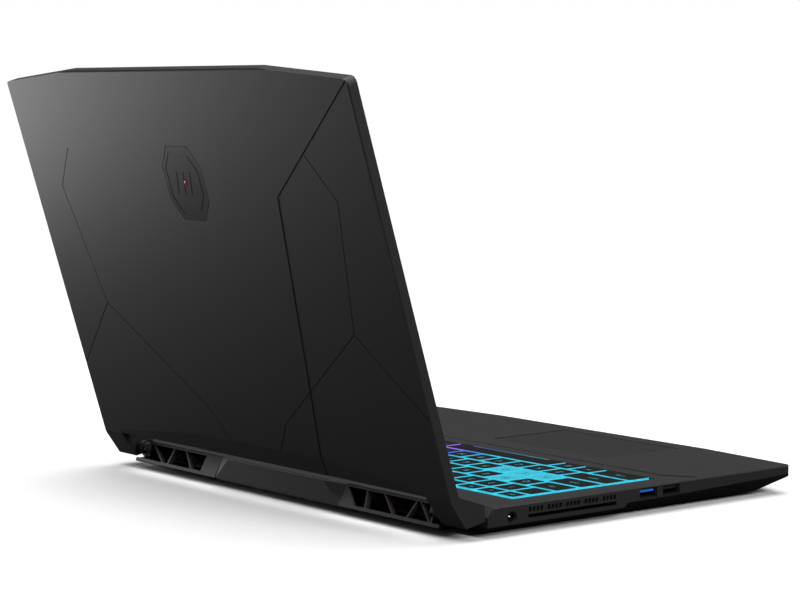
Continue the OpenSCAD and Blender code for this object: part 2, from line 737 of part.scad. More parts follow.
module fan_housing(side) {
    z0 = fan_low_z + fan_plate;
    z1 = parts_top_z - fan_plate;
    color(dark_c) base_pose() on_side(side) union() {
        difference() {
            box([fan_case[0], fan_case[1], fan_low_z], [fan_case[2], fan_case[3], parts_top_z]);
            translate([fan_x, fan_y, z0]) cylinder(h = z1 - z0, r = fan_r + 2, $fn = 96);
            box([fan_case[0] + 4, fan_y + 6, z0], [147, fan_case[3] + 1, z1]);
            box([fan_x, 164, z0], [fan_case[2] + 1, 212, z1]);
            translate([fan_x, fan_y, 0]) cylinder(h = 6, r = 22);
        }
        translate([fan_x, fan_y, z0]) cylinder(h = z1 - z0 + 0.1, r = spindle_r);
    }
}

// Outline of a hub with straight swept blades
function polar(r, a) = [r * cos(a), r * sin(a)];
function blade_ring(r0, r1, n, t, sweep) = [for (i = [0:n - 1])
    let (a = i * 360 / n, h0 = asin(t / 2 / r0), h1 = asin(t / 2 / r1))
    each [polar(r0, a - h0), polar(r1, a + sweep - h1), polar(r1, a + sweep + h1), polar(r0, a + h0)]];

module fan_impeller(side) {
    z0 = 6;
    z1 = 10;
    color(shell_c) base_pose() on_side(side) translate([fan_x, fan_y, z0]) difference() {
        linear_extrude(z1 - z0) polygon(blade_ring(11, fan_r, blades, 0.8, 28));
        translate([0, 0, -1]) cylinder(h = z1 - z0 + 2, r = spindle_r + 0.05);
    }
}

module memory_modules() {
    color(board_c) base_pose() both_sides() {
        box([3, 104, 7.8], [71, 134, 8.8]);
        for (i = [0:3]) box([8 + i * 16, 110, 7], [20 + i * 16, 124, 7.8]);
    }
}

module solid_state_drive() {
    color(board_c) base_pose() {
        box([-160, 106, 8], [-80, 128, 8.9]);
        for (x = [-150, -128, -106]) box([x, 109, 6.9], [x + 16, 125, 8]);
    }
}

module wireless_card() {
    color(board_c) base_pose() {
        box([80, 106, 8], [110, 128, 8.9]);
        box([84, 110, 6.8], [104, 124, 8]);
    }
}

module battery_pack() {
    color(dark_c) base_pose() {
        for (x = [-120:60.5:62]) box([x, 30, 4.8], [x + 59, 90, 11]);
        box([-121, 25, 6.6], [121, 30, 10.6]);
    }
}

module speakers() {
    color(dark_c) base_pose() both_sides() difference() {
        box([126, 46, 4.6], [163, 84, 11]);
        translate([144, 65, 2]) cylinder(h = 4, r = 12);
    }
}

// ---- ports ------------------------------------------------------------------------------------

module power_inlet() {
    x0 = 165.5;
    color(dark_c) base_pose() on_side(-1) union() {
        difference() {
            box([x0, power_y - 4.6, power_z - 3.6], [177.6, power_y + 4.6, power_z + 4.4]);
            translate([x0 + 2, power_y, power_z]) rotate([0, 90, 0]) cylinder(h = 20, r = 2.8);
        }
        difference() {
            translate([177, power_y, power_z]) rotate([0, 90, 0]) cylinder(h = port_face_x - 177, r = 3.3);
            translate([176, power_y, power_z]) rotate([0, 90, 0]) cylinder(h = 6, r = 2.8);
        }
        translate([x0 + 1.5, power_y, power_z]) rotate([0, 90, 0]) cylinder(h = 10, r = 0.9);
    }
}

// A thin metal sleeve with a tongue, opening outwards at the right side
module socket(y, z, w, h, depth, tongue_w, tongue_h, tongue_lift) {
    skin = 0.35;
    x0 = port_face_x - depth;
    box_d = depth - 3;
    difference() {
        box([x0, y - w / 2, z - h / 2], [port_face_x, y + w / 2, z + h / 2]);
        box([x0 + 1.5, y - w / 2 + skin, z - h / 2 + skin], [port_face_x + 1, y + w / 2 - skin, z + h / 2 - skin]);
    }
    box([x0 + 1, y - tongue_w / 2, z + tongue_lift - tongue_h / 2],
        [x0 + 1 + box_d, y + tongue_w / 2, z + tongue_lift + tongue_h / 2]);
}

module usb_a(y) {
    socket(y, port_z, 13.2, 5.6, 14, 11, 1.8, 0.9);
}

module usb_ports_left() {
    color(steel_c) base_pose() on_side(-1) for (y = usb_left_y) usb_a(y);
}

module usb_ports_right() {
    color(steel_c) base_pose() {
        usb_a(usb_right_y);
        socket(usb_c_y, port_z, 9, 3.3, 9, 6.4, 0.7, 0);
    }
}

module video_port() {
    color(steel_c) base_pose() socket(video_y, port_z, 15, 5.5, 12, 11.5, 1.4, 0.3);
}

module network_port() {
    y0 = network_y - 8;
    y1 = network_y + 8;
    color(dark_c) base_pose() difference() {
        box([164.8, y0, 7.5], [port_face_x, y1, 15.7]);
        box([167.5, y0 + 2.1, 8.4], [port_face_x + 1, y1 - 2.1, 14.8]);
    }
}

module audio_jack() {
    color(dark_c) base_pose() difference() {
        union() {
            box([165, audio_y - 3.4, port_z - 2.7], [177.6, audio_y + 3.4, port_z + 2.7]);
            translate([177, audio_y, port_z]) rotate([0, 90, 0]) cylinder(h = port_face_x - 177, r = 2.7);
        }
        translate([port_face_x - 12, audio_y, port_z]) rotate([0, 90, 0]) cylinder(h = 13, r = audio_r);
    }
}

// ---- feet and screws --------------------------------------------------------------------------

module rubber_feet() {
    color([0.03, 0.03, 0.03]) base_pose() both_sides() {
        along_y(222, 236) polygon([[126, foot_h], [128, 0], [163, 0], [168, foot_h]]);
        along_y(40, 47) polygon([[118, foot_h], [119, 0], [157, 0], [158, foot_h]]);
    }
}

module bottom_screws() {
    color(steel_c) base_pose() difference() {
        union() {
            bosses(foot_h + 0.1, foot_h + 0.6, boss_r - 0.3);
            bosses(foot_h + 0.5, 9.8, screw_r);
        }
        bosses(foot_h, foot_h + 0.35, 0.8);
    }
}

// ---- the nodes --------------------------------------------------------------------------------

lid_cover();
lid_badge();
display_bezel();
display_panel();
camera_module();
camera_window();
bezel_bumpers();
hinge_arm(-1);  // hinge_arm_left
hinge_arm(1);  // hinge_arm_right
hinge_pin(-1);  // hinge_pin_left
hinge_pin(1);  // hinge_pin_right
antennas();
display_cable();
deck_cover();
bottom_cover();
exhaust_grille(-1);  // exhaust_grille_left
exhaust_grille(1);  // exhaust_grille_right
rear_center_bar();
hinge_bracket(-1);  // hinge_bracket_left
hinge_bracket(1);  // hinge_bracket_right
keyboard_plate();
touchpad();
motherboard();
cold_plates();
heat_pipes();
fin_stacks();
fan_housing(-1);  // fan_housing_left
fan_housing(1);  // fan_housing_right
fan_impeller(-1);  // fan_impeller_left
fan_impeller(1);  // fan_impeller_right
memory_modules();
solid_state_drive();
wireless_card();
battery_pack();
speakers();
power_inlet();
usb_ports_left();
usb_ports_right();
video_port();
network_port();
audio_jack();
rubber_feet();
bottom_screws();
keys(function_keys, dark_c);  // keys_function_row
keys(number_keys, dark_c);  // keys_number_row
keys(upper_keys, dark_c);  // keys_upper_row
keys(home_keys, dark_c);  // keys_home_row
keys(lower_keys, dark_c);  // keys_lower_row
keys(bottom_keys, dark_c);  // keys_bottom_row
keys(number_pad_keys, dark_c);  // keys_number_pad
keys(arrow_keys, dark_c);  // keys_arrows
keys(pick(5, [0]), dark_c);  // key_escape
keys(power_keys, dark_c);  // key_power
keys(pick(3, [2]), glow_c);  // key_w
keys(pick(2, [1]), glow_c);  // key_a
keys(pick(2, [2]), glow_c);  // key_s
keys(pick(2, [3]), glow_c);  // key_d
keys(pick(2, [12]), dark_c);  // key_enter
keys(pick(0, [3]), dark_c);  // key_space
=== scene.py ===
import bpy
import json
import math
from mathutils import Matrix, Vector


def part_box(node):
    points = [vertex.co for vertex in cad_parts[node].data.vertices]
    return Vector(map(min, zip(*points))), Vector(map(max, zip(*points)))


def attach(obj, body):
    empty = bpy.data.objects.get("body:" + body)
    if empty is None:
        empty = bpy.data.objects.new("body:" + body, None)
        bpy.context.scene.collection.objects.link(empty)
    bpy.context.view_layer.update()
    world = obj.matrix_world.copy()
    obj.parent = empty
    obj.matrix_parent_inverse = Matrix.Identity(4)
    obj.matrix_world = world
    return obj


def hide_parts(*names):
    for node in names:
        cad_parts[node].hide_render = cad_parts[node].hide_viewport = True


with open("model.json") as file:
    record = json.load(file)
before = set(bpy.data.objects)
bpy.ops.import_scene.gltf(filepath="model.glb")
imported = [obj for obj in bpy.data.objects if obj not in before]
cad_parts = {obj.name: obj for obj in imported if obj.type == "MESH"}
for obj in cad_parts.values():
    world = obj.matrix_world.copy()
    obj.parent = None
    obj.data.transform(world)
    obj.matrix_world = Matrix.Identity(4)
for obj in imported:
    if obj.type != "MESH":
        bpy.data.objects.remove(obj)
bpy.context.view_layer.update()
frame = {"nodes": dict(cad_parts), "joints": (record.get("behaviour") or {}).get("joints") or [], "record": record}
nodes = frame["nodes"]
joints = {j["name"]: j for j in frame["joints"]}
mounts = {m["name"]: Vector(m["pos_m"]) for m in frame["record"]["mounts"]}
scene = bpy.context.scene
MM = 0.001


# ---- node graphs ------------------------------------------------------------------------------

class Graph:
    """A small helper that adds nodes to one material and links them by socket name."""

    def __init__(self, name):
        self.material = bpy.data.materials.new(name)
        self.material.use_nodes = True
        self.tree = self.material.node_tree
        self.shader = self.tree.nodes["Principled BSDF"]
        self.place = self.add("ShaderNodeTexCoord").outputs["Object"]

    def add(self, kind, **settings):
        node = self.tree.nodes.new(kind)
        for key, value in settings.items():
            setattr(node, key, value)
        return node

    def link(self, output, socket):
        self.tree.links.new(output, socket)

    def noise(self, scale, detail=3.0, roughness=0.5, stretch=None):
        source = self.place
        if stretch:
            mapping = self.add("ShaderNodeMapping")
            mapping.inputs["Scale"].default_value = stretch
            self.link(source, mapping.inputs["Vector"])
            source = mapping.outputs["Vector"]
        node = self.add("ShaderNodeTexNoise")
        node.inputs["Scale"].default_value = scale
        node.inputs["Detail"].default_value = detail
        node.inputs["Roughness"].default_value = roughness
        self.link(source, node.inputs["Vector"])
        return node.outputs["Fac"]

    def ramp(self, source, stops):
        node = self.add("ShaderNodeValToRGB")
        elements = node.color_ramp.elements
        while len(elements) < len(stops):
            elements.new(0.5)
        for element, (position, colour) in zip(elements, stops):
            element.position = position
            element.color = (*colour, 1)
        self.link(source, node.inputs["Fac"])
        return node.outputs["Color"]

    def remap(self, source, low, high, to_low, to_high):
        node = self.add("ShaderNodeMapRange")
        for key, value in (("From Min", low), ("From Max", high), ("To Min", to_low), ("To Max", to_high)):
            node.inputs[key].default_value = value
        self.link(source, node.inputs["Value"])
        return node.outputs["Result"]

    def bump(self, height, strength, distance):
        node = self.add("ShaderNodeBump")
        node.inputs["Strength"].default_value = strength
        node.inputs["Distance"].default_value = distance
        self.link(height, node.inputs["Height"])
        return node.outputs["Normal"]


def shade(colour, gain):
    """The colour made darker or lighter."""
    return tuple(min(1.0, c * gain) for c in colour)


COAT_ROUGHNESS = 0.2
BUMP_STRENGTH = 0.6


def surface(name, colour, rough, grain=2500.0, grain_depth=0.02, metallic=0.0, spread=0.12,
            specular=0.5, coat=0.0, stretch=None, blotch=28.0):
    """A moulded, painted or metal surface: broad colour drift, uneven gloss and a fine grain."""
    g = Graph(name)
    broad = g.noise(blotch, 4.0, 0.6)
    fine = g.noise(grain, 2.0, 0.6, stretch)
    g.link(g.ramp(broad, [(0.3, shade(colour, 1 - spread)), (0.7, shade(colour, 1 + spread))]),
           g.shader.inputs["Base Color"])
    low, high = rough
    g.link(g.remap(fine, 0.3, 0.7, low, high), g.shader.inputs["Roughness"])
    g.link(g.bump(fine, BUMP_STRENGTH, grain_depth * MM), g.shader.inputs["Normal"])
    g.shader.inputs["Metallic"].default_value = metallic
    g.shader.inputs["Specular IOR Level"].default_value = specular
    g.shader.inputs["Coat Weight"].default_value = coat
    g.shader.inputs["Coat Roughness"].default_value = COAT_ROUGHNESS
    return g


# ---- key light colours along the keyboard, from the user's left to the right ----------------

CYAN = (0.035, 0.62, 0.82)
BLUE = (0.03, 0.2, 0.85)
PURPLE = (0.42, 0.07, 0.95)
PINK = (0.9, 0.06, 0.55)
glow_turn = math.radians(-20)
keys_low, keys_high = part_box("keyboard_plate")


def glow_ramp(g, gain):
    """The rainbow of the key lights, which runs to the right and a little towards the front."""
    turned = g.add("ShaderNodeMapping", vector_type="TEXTURE")
    turned.inputs["Rotation"].default_value = (0, 0, glow_turn)
    g.link(g.place, turned.inputs["Vector"])
    split = g.add("ShaderNodeSeparateXYZ")
    g.link(turned.outputs["Vector"], split.inputs["Vector"])
    along = g.remap(split.outputs["X"], keys_low.x, keys_high.x, 0.0, 1.0)
    return g.ramp(along, [(0.44, shade(CYAN, gain)), (0.51, shade(BLUE, gain)),
                          (0.58, shade(PURPLE, gain)), (0.95, shade(PINK, gain))])


def glowing(name, colour, rough, gain, strength, patch=0.25, patch_scale=260.0):
    """A lit plastic whose brightness drifts from place to place by up to the given patch share."""
    g = surface(name, colour, rough, grain=1800.0, grain_depth=0.01, spread=0.1, specular=0.4)
    light = glow_ramp(g, gain)
    drift = g.noise(patch_scale, 2.0)
    uneven = g.ramp(drift, [(0.35, (1 - patch,) * 3), (0.65, (1, 1, 1))])
    mix = g.add("ShaderNodeMix", data_type="RGBA", blend_type="MULTIPLY")
    mix.inputs["Factor"].default_value = 1.0
    g.link(light, mix.inputs["A"])
    g.link(uneven, mix.inputs["B"])
    g.link(mix.outputs["Result"], g.shader.inputs["Emission Color"])
    g.shader.inputs["Emission Strength"].default_value = strength
    return g


looks = {
    "shell": surface("shell", (0.0105, 0.0105, 0.011), (0.42, 0.52), grain=3200.0, grain_depth=0.012,
                     spread=0.06, specular=0.5),
    "badge_gloss": surface("badge_gloss", (0.005, 0.005, 0.0055), (0.3, 0.34), grain=4000.0,
                           grain_depth=0.001, spread=0.05),
    "cover_plastic": surface("cover_plastic", (0.004, 0.004, 0.0045), (0.55, 0.7), grain=1500.0,
                             grain_depth=0.05, spread=0.12, specular=0.2),
    "grille_plastic": surface("grille_plastic", (0.012, 0.012, 0.013), (0.5, 0.6), grain=2100.0,
                              grain_depth=0.02, spread=0.1, specular=0.3),
    "screen_glass": surface("screen_glass", (0.0035, 0.0035, 0.0045), (0.2, 0.26), grain=5200.0,
                            grain_depth=0.004, spread=0.15),
    "lens_glass": surface("lens_glass", (0.002, 0.002, 0.004), (0.05, 0.08), grain=700.0,
                          grain_depth=0.001, coat=0.6),
    "steel": surface("steel", (0.42, 0.43, 0.45), (0.24, 0.4), grain=420.0, grain_depth=0.01,
                     metallic=1.0, spread=0.12, stretch=(1.0, 9.0, 9.0)),
    "copper": surface("copper", (0.06, 0.012, 0.009), (0.3, 0.45), grain=600.0, grain_depth=0.01,
                      metallic=0.85, spread=0.3),
    "board": surface("board", (0.008, 0.03, 0.018), (0.4, 0.55), grain=900.0, grain_depth=0.03,
                     spread=0.3),
    "battery_wrap": surface("battery_wrap", (0.012, 0.012, 0.012), (0.35, 0.5), grain=300.0,
                            grain_depth=0.05, spread=0.2),
    "port_plastic": surface("port_plastic", (0.006, 0.006, 0.0065), (0.45, 0.6), grain=1500.0,
                            grain_depth=0.02, spread=0.15),
    "touch_surface": surface("touch_surface", (0.014, 0.014, 0.0155), (0.36, 0.42), grain=4200.0,
                             grain_depth=0.006, spread=0.05),
    "rubber_foot": surface("rubber_foot", (0.01, 0.01, 0.01), (0.7, 0.85), grain=1300.0,
                           grain_depth=0.06, spread=0.2, specular=0.3),
    "key_black": surface("key_black", (0.004, 0.004, 0.0045), (0.62, 0.74), grain=2600.0,
                         grain_depth=0.01, spread=0.15, specular=0.12),
    "port_tongue_blue": surface("port_tongue_blue", (0.02, 0.16, 0.75), (0.3, 0.4), grain=1500.0,
                                grain_depth=0.01, spread=0.1),
    "accent_red": surface("accent_red", (0.6, 0.012, 0.01), (0.25, 0.35), grain=1500.0,
                          grain_depth=0.01, spread=0.1),
    "key_light": glowing("key_light", (0.01, 0.03, 0.035), (0.5, 0.6), 0.35, 0.6),
    "key_skirt": glowing("key_skirt", (0.02, 0.1, 0.12), (0.35, 0.45), 1.0, 1.0),
    "key_clear": glowing("key_clear", (0.02, 0.2, 0.25), (0.3, 0.4), 0.8, 0.72, 0.5, 1400.0),
    "legend_light": glowing("legend_light", (0.05, 0.1, 0.12), (0.4, 0.5), 0.5, 0.9),
    "dark_steel": surface("dark_steel", (0.03, 0.03, 0.032), (0.4, 0.55), grain=800.0, grain_depth=0.02,
                          metallic=0.6, spread=0.2),
}


# ---- finishing the CAD nodes ------------------------------------------------------------------

MERGE_DISTANCE = 0.002 * MM
HARD_ANGLE = math.radians(26)


def tidy_group():
    """Joins the split vertices of an imported node, so that its edges can be rounded."""
    group = bpy.data.node_groups.new("tidy_mesh", "GeometryNodeTree")
    group.interface.new_socket("Geometry", in_out="INPUT", socket_type="NodeSocketGeometry")
    group.interface.new_socket("Geometry", in_out="OUTPUT", socket_type="NodeSocketGeometry")
    start = group.nodes.new("NodeGroupInput")
    end = group.nodes.new("NodeGroupOutput")
    drop = group.nodes.new("GeometryNodeRemoveAttribute")
    drop.inputs["Name"].default_value = "custom_normal"
    merge = group.nodes.new("GeometryNodeMergeByDistance")
    merge.inputs["Distance"].default_value = MERGE_DISTANCE
    flat = group.nodes.new("GeometryNodeSetShadeSmooth")
    flat.domain = "FACE"
    flat.inputs["Shade Smooth"].default_value = False
    group.links.new(start.outputs[0], drop.inputs["Geometry"])
    group.links.new(drop.outputs["Geometry"], merge.inputs["Geometry"])
    group.links.new(merge.outputs["Geometry"], flat.inputs["Geometry"])
    group.links.new(flat.outputs["Geometry"], end.inputs[0])
    return group


def smooth_group():
    """Smooth shading on gently curved faces, with every harder edge kept sharp."""
    group = bpy.data.node_groups.new("smooth_curves", "GeometryNodeTree")
    group.interface.new_socket("Geometry", in_out="INPUT", socket_type="NodeSocketGeometry")
    group.interface.new_socket("Geometry", in_out="OUTPUT", socket_type="NodeSocketGeometry")
    start = group.nodes.new("NodeGroupInput")
    end = group.nodes.new("NodeGroupOutput")
    faces = group.nodes.new("GeometryNodeSetShadeSmooth")
    faces.domain = "FACE"
    edges = group.nodes.new("GeometryNodeSetShadeSmooth")
    edges.domain = "EDGE"
    edges.inputs["Shade Smooth"].default_value = False
    angle = group.nodes.new("GeometryNodeInputMeshEdgeAngle")
    compare = group.nodes.new("FunctionNodeCompare")
    compare.operation = "GREATER_THAN"
    compare.inputs[1].default_value = HARD_ANGLE
    group.links.new(start.outputs[0], faces.inputs["Geometry"])
    group.links.new(faces.outputs["Geometry"], edges.inputs["Geometry"])
    group.links.new(angle.outputs["Unsigned Angle"], compare.inputs[0])
    group.links.new(compare.outputs["Result"], edges.inputs["Selection"])
    group.links.new(edges.outputs["Geometry"], end.inputs[0])
    return group


tidy = tidy_group()
smooth = smooth_group()
FLAT_ANGLE = math.radians(0.4)
BEVEL_ANGLE = math.radians(28)
BEVEL_SEGMENTS = 2


def smooth_curves(thing):
    curves = thing.modifiers.new("curves", "NODES")
    curves.node_group = smooth


def dress(name, slot, bevel, is_round):
    """Gives a CAD node its material, rounded edges and, if it is round, smooth shading."""
    node = nodes[name]
    node.data.materials[0] = looks[slot].material
    clean = node.modifiers.new("tidy", "NODES")
    clean.node_group = tidy
    if bevel:
        flat = node.modifiers.new("flat", "DECIMATE")
        flat.decimate_type = "DISSOLVE"
        flat.angle_limit = FLAT_ANGLE
        edge = node.modifiers.new("edge", "BEVEL")
        edge.width = bevel * MM
        edge.segments = BEVEL_SEGMENTS
        edge.limit_method = "ANGLE"
        edge.angle_limit = BEVEL_ANGLE
        edge.use_clamp_overlap = True
        edge.miter_outer = "MITER_SHARP"
    if is_round:
        smooth_curves(node)


# Width in mm of the rounded edges of the larger nodes
bevels = {"lid_cover": 0.2, "deck_cover": 0.12, "bottom_cover": 0.15, "rear_center_bar": 0.2,
          "exhaust_grille_left": 0.2, "exhaust_grille_right": 0.2, "touchpad": 0.15,
          "display_bezel": 0.15, "rubber_feet": 0.3}
round_nodes = ("hinge_pin_left", "hinge_pin_right", "hinge_bracket_left", "hinge_bracket_right",
               "hinge_arm_left", "hinge_arm_right", "audio_jack", "power_inlet", "fan_impeller_left",
               "fan_impeller_right", "fan_housing_left", "fan_housing_right", "camera_window",
               "bottom_screws", "speakers", "camera_module")
slot_of = {s["node"]: s["material_slot"] for s in frame["record"]["subparts"]}
key_nodes = [n for n in sorted(nodes) if n.startswith("key_") or n.startswith("keys_")]
for name in sorted(nodes):
    if name not in key_nodes:
        dress(name, slot_of[name], bevels.get(name, 0.0), name in round_nodes)


# ---- building pieces --------------------------------------------------------------------------

def piece(name, points, faces, materials, body, indices=None):
    """A new mesh piece that rides on a body. The indices say which material each face has."""
    mesh = bpy.data.meshes.new(name)
    mesh.from_pydata(points, [], faces)
    for material in materials:
        mesh.materials.append(looks[material].material)
    if indices:
        mesh.polygons.foreach_set("material_index", indices)
    mesh.update()
    thing = bpy.data.objects.new(name, mesh)
    scene.collection.objects.link(thing)
    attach(thing, body)
    return thing


class Shape:
    """Collects rings of points into closed skins."""

    def __init__(self):
        self.points = []
        self.faces = []
        self.indices = []

    def skin(self, rings, indices, cap_low=0, cap_high=0):
        """Joins rings of equal length and closes both ends; each band and each end has a material."""
        first = len(self.points)
        count = len(rings[0])
        for ring in rings:
            self.points.extend(ring)
        for k in range(len(rings) - 1):
            for i in range(count):
                a = first + k * count + i
                b = first + k * count + (i + 1) % count
                self.faces.append((a, b, b + count, a + count))
                self.indices.append(indices[k])
        self.faces.append(tuple(first + i for i in reversed(range(count))))
        self.indices.append(cap_low)
        last = first + (len(rings) - 1) * count
        self.faces.append(tuple(last + i for i in range(count)))
        self.indices.append(cap_high)


def rounded_ring(low, high, radius, inset, z, steps=4):
    """A rounded rectangle at height z, counter-clockwise from above."""
    x0, y0, x1, y1 = low[0] + inset, low[1] + inset, high[0] - inset, high[1] - inset
    r = max(radius - inset, 0.15 * MM)
    corners = ((x1 - r, y1 - r, 0), (x0 + r, y1 - r, 90), (x0 + r, y0 + r, 180), (x1 - r, y0 + r, 270))
    ring = []
    for cx, cy, start in corners:
        for i in range(steps + 1):
            a = math.radians(start + 90 * i / steps)
            ring.append((cx + r * math.cos(a), cy + r * math.sin(a), z))
    return ring


# ---- keys -------------------------------------------------------------------------------------

def solids_of(name):
    """The box of each separate solid of a CAD node, as (low, high)."""
    mesh = nodes[name].data
    group = {}

    def find(p):
        while group[p] != p:
            group[p] = group[group[p]]
            p = group[p]
        return p

    spots = [tuple(round(c, 6) for c in v.co) for v in mesh.vertices]
    for spot in spots:
        group.setdefault(spot, spot)
    for polygon in mesh.polygons:
        first = find(spots[polygon.vertices[0]])
        for index in polygon.vertices:
            group[find(spots[index])] = first
    members = {}
    for spot in group:
        members.setdefault(find(spot), []).append(spot)
    boxes = []
    for spots_in in members.values():
        low = Vector([min(s[i] for s in spots_in) for i in range(3)])
        high = Vector([max(s[i] for s in spots_in) for i in range(3)])
        boxes.append((low, high))
    boxes.sort(key=lambda b: (-round((b[0].y + b[1].y) / 2, 3), b[0].x))
    return boxes


cap_height = 2.3 * MM
cap_radius = 1.4 * MM
cap_dish = 0.12 * MM
post_half = 2 * MM
post_radius = 0.3 * MM
# Inset and depth below the top of the rings round a cap, from the lit skirt to the dish
cap_rings = ((0, cap_height), (0, 0.3 * MM), (0.06 * MM, 0.12 * MM), (0.25 * MM, 0.01 * MM), (0.6 * MM, 0),
             (2.4 * MM, cap_dish))
cap_bands = [0, 0, 1, 1, 1]
legend_lift = 0.02 * MM


def add_cap(shape, low, high):
    """One keycap: lit skirt, black chamfered top with a shallow dish, and the post under it."""
    rings = [rounded_ring(low, high, cap_radius, inset, high.z - depth) for inset, depth in cap_rings]
    shape.skin(rings, cap_bands, 0, 1)
    middle = (low + high) / 2
    a = (middle.x - post_half, middle.y - post_half)
    b = (middle.x + post_half, middle.y + post_half)
    ends = (low.z, high.z - cap_height)
    shape.skin([rounded_ring(a, b, post_radius, 0, z, 2) for z in ends], [1], 1, 1)


def text_mesh(word, size):
    """A flat word as a mesh, centred on its origin."""
    curve = bpy.data.curves.new("word", "FONT")
    curve.body = word
    curve.size = size
    curve.align_x = "CENTER"
    curve.align_y = "CENTER"
    curve.resolution_u = 2
    curve.extrude = 0.01 * MM
    holder = bpy.data.objects.new("word", curve)
    scene.collection.objects.link(holder)
    bpy.context.view_layer.update()
    mesh = bpy.data.meshes.new_from_object(holder.evaluated_get(bpy.context.evaluated_depsgraph_get()))
    bpy.data.objects.remove(holder)
    bpy.data.curves.remove(curve)
    return mesh


words = {
    "keys_function_row": ["F%d" % i for i in range(1, 13)] + ["PRT", "INS", "DEL", "HOME", "END"],
    "keys_number_row": list("`1234567890-=") + ["BACK"],
    "keys_upper_row": ["TAB"] + list("QERTYUIOP[]") + ["\\"],
    "keys_home_row": ["CAPS"] + list("FGHJKL;'"),
    "keys_lower_row": ["SHIFT"] + list("ZXCVBNM,./") + ["SHIFT"],
    "keys_bottom_row": ["CTRL", "FN", "#", "ALT", "FN", "CTRL"],
    "keys_number_pad": ["NUM", "/", "*", "-", "7", "8", "9", "+", "4", "5", "6", "1", "2", "3",
                        "ENT", "0", "."],
    "keys_arrows": ["^", "<", "v", ">"],
    "key_escape": ["ESC"],
    "key_power": ["O"],
    "key_enter": ["ENTER"],
    "key_w": ["W"],
    "key_a": ["A"],
    "key_s": ["S"],
    "key_d": ["D"],
}
letter_size = 6.6 * MM
word_size = 3.3 * MM
clear_keys = ("key_w", "key_a", "key_s", "key_d")

# The row of slanted bars near the space bar's front edge
hatch_pitch = 1.5 * MM
hatch_start = 14 * MM
hatch_end = 86 * MM
hatch_front = 1.0 * MM
hatch_depth = 1.6 * MM
bar_width = 0.7 * MM
bar_slant = 0.8 * MM


def add_hatch(points, faces, low, high):
    """Adds the slanted bars, each one a thin closed block."""
    y0 = low.y + hatch_front
    y1 = y0 + hatch_depth
    x = low.x + hatch_start
    while x < low.x + hatch_end:
        first = len(points)
        for z in (high.z - legend_lift, high.z + legend_lift):
            points.extend([(x, y0, z), (x + bar_width, y0, z)])
            points.extend([(x + bar_slant + bar_width, y1, z), (x + bar_slant, y1, z)])
        faces.append(tuple(first + i for i in (3, 2, 1, 0)))
        faces.append(tuple(first + i for i in (4, 5, 6, 7)))
        for i in range(4):
            j = (i + 1) % 4
            faces.append((first + i, first + j, first + 4 + j, first + 4 + i))
        x += hatch_pitch


for name in key_nodes:
    boxes = solids_of(name)
    shape = Shape()
    for low, high in boxes:
        add_cap(shape, low, high)
    is_clear = name in clear_keys
    top_slot = "key_clear" if is_clear else "key_black"
    caps = piece(name + "_caps", shape.points, shape.faces, ["key_skirt", top_slot], name,
                 shape.indices)
    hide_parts(name)
    points, faces = [], []
    for (low, high), word in zip(boxes, words.get(name, [])):
        mesh = text_mesh(word, letter_size if len(word) == 1 else word_size)
        first = len(points)
        middle = (low + high) / 2
        lift = high.z - cap_dish + legend_lift
        points.extend((v.co.x + middle.x, v.co.y + middle.y, v.co.z + lift) for v in mesh.vertices)
        faces.extend(tuple(first + i for i in p.vertices) for p in mesh.polygons)
        bpy.data.meshes.remove(mesh)
    if name == "key_space":
        add_hatch(points, faces, *boxes[0])
    legend_slot = "port_plastic" if is_clear else "legend_light"
    piece(name + "_signs", points, faces, [legend_slot], name)


# ---- small parts ------------------------------------------------------------------------------

LATHE_STEPS = 40
RING_STEPS = 48


def lathe(name, centre, axis, profile, material, body):
    """A closed turned part: profile is [distance along the axis, radius] from one end to the other."""
    turn = axis.to_track_quat("Z", "Y").to_matrix()
    shape = Shape()
    rings = []
    for along, radius in profile:
        ring = []
        for i in range(LATHE_STEPS):
            a = 2 * math.pi * i / LATHE_STEPS
            p = turn @ Vector((radius * math.cos(a), radius * math.sin(a), along))
            ring.append(tuple(centre + p))
        rings.append(ring)
    shape.skin(rings, [0] * (len(rings) - 1))
    smooth_curves(piece(name, shape.points, shape.faces, [material], body))


def ring_part(name, centre, axis, inner, outer, depth, material, body):
    """A bevelled metal ring."""
    turn = axis.to_track_quat("Z", "Y").to_matrix()
    edge = min(outer - inner, depth) * 0.25
    loop = [(inner, 0), (inner, depth - edge), (inner + edge, depth), (outer - edge, depth),
            (outer, depth - edge), (outer, 0)]
    points, faces = [], []
    for i in range(RING_STEPS):
        a = 2 * math.pi * i / RING_STEPS
        for radius, along in loop:
            p = turn @ Vector((radius * math.cos(a), radius * math.sin(a), along))
            points.append(tuple(centre + p))
    count = len(loop)
    for i in range(RING_STEPS):
        for k in range(count):
            a = i * count + k
            b = i * count + (k + 1) % count
            c = ((i + 1) % RING_STEPS) * count + (k + 1) % count
            d = ((i + 1) % RING_STEPS) * count + k
            faces.append((a, d, c, b))
    smooth_curves(piece(name, points, faces, [material], body))


left = Vector((-1, 0, 0))
inlet = mounts["power_inlet"]
pin_profile = [(0, 1.05 * MM), (7.2 * MM, 1.05 * MM), (7.8 * MM, 0.8 * MM), (8.1 * MM, 0.35 * MM)]
lathe("power_inlet_pin", inlet - left * 9 * MM, left, pin_profile, "steel", "base")
ring_part("power_inlet_ring", inlet - left * 0.4 * MM, left, 2.75 * MM, 3.15 * MM, 0.6 * MM,
          "dark_steel", "base")


tongue_width = 11.4 * MM
tongue_height = 1.6 * MM
tongue_lift = 1.2 * MM
tongue_setback = 0.9 * MM
tongue_root = 12.0 * MM
tongue_edge = 0.3 * MM
contact_pitch = 2.3 * MM
contact_half = 0.5 * MM
contact_under = 0.12 * MM
contact_sunk = 0.05 * MM
contact_setback = 1.0 * MM


